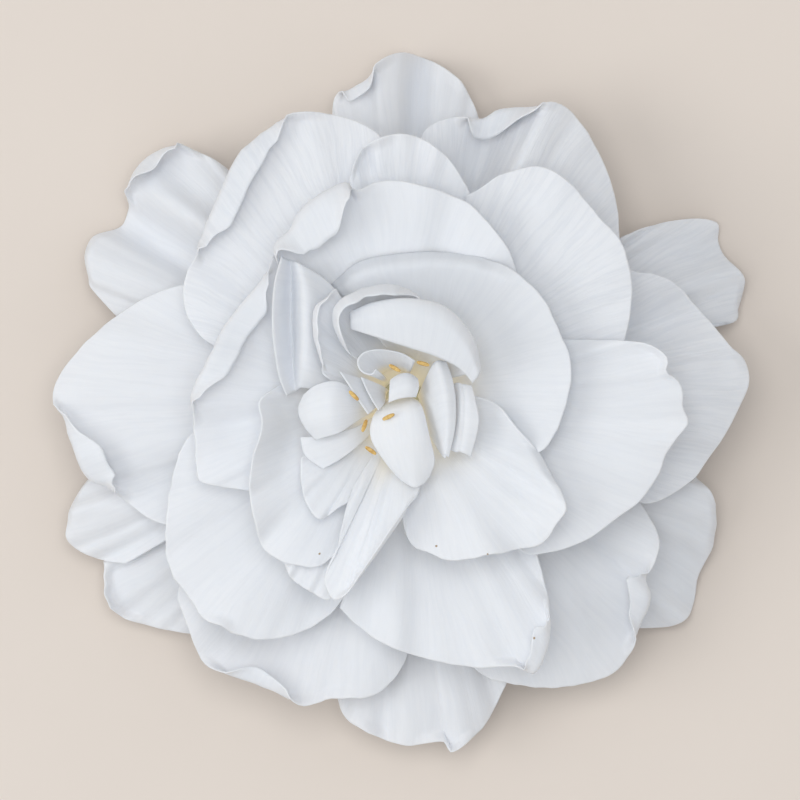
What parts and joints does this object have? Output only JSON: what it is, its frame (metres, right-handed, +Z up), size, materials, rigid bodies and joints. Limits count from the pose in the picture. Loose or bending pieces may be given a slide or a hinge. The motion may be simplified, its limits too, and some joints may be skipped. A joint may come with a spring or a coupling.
{
  "type": "preserved gardenia bloom",
  "caption": "Double gardenia flower head with layered, rolled white petals around a folded heart, on a short cut calyx.",
  "frame": {"origin": "on the resting plane, under the middle of the head's box", "axes": "+Z up out of the open flower, +X to the right and +Y away from a viewer who looks down with the pointed bottom petals nearest"},
  "size_m": [0.0798, 0.0804, 0.0328],
  "materials": {
    "petal": "soft matt white petal tissue with fine veins",
    "heart_petal": "soft matt white petal tissue, creamier towards the foot",
    "anther": "dry, ochre, granular",
    "column": "matt cream tissue",
    "calyx": "matt green, ribbed"
  },
  "bodies": {
    "root": {"anther_1": "anther", "anther_2": "anther", "anther_3": "anther", "anther_4": "anther", "anther_5": "anther", "anther_6": "anther", "calyx": "calyx", "corolla_column": "column", "petal_broad_01_left": "petal", "petal_broad_02_bottom_left": "petal", "petal_broad_03_lower_right": "petal", "petal_broad_04_right": "petal", "petal_broad_05_top_right": "petal", "petal_heart_01_roll": "heart_petal", "petal_heart_02_hood": "heart_petal", "petal_heart_03_egg": "heart_petal", "petal_heart_04_right_fold": "heart_petal", "petal_heart_05_left_fold": "heart_petal", "petal_heart_06_left_fold": "heart_petal", "petal_heart_07_centre": "heart_petal", "petal_inner_01_left_gutter": "petal", "petal_inner_02_left_lobe": "petal", "petal_inner_03_cup": "petal", "petal_inner_04_rounded_lobe": "petal", "petal_inner_05_hollow": "petal", "petal_inner_06_pointed": "petal", "petal_inner_07_right_crescent": "petal", "petal_outer_01_top": "petal", "petal_outer_02_upper_left": "petal", "petal_outer_03_lower_left": "petal", "petal_outer_04_lower_right": "petal", "petal_outer_05_upper_right": "petal", "petal_outer_06_left_low": "petal", "petal_outer_07_bottom": "petal", "petal_second_01_upper_left": "petal", "petal_second_02_lower_left": "petal", "petal_second_03_bottom": "petal", "petal_second_04_top": "petal", "petal_second_05_upper_right": "petal", "petal_second_06_right": "petal", "petal_third_01_left": "petal", "petal_third_02_top": "petal", "petal_third_03_right": "petal", "petal_third_04_lower_left_tip": "petal", "petal_third_05_lower_left": "petal", "petal_third_06_lower_right": "petal", "petal_third_07_bottom_fold": "petal", "sepal_1": "calyx", "sepal_2": "calyx", "sepal_3": "calyx", "sepal_4": "calyx", "sepal_5": "calyx", "sepal_6": "calyx"}
  },
  "joints": []
}
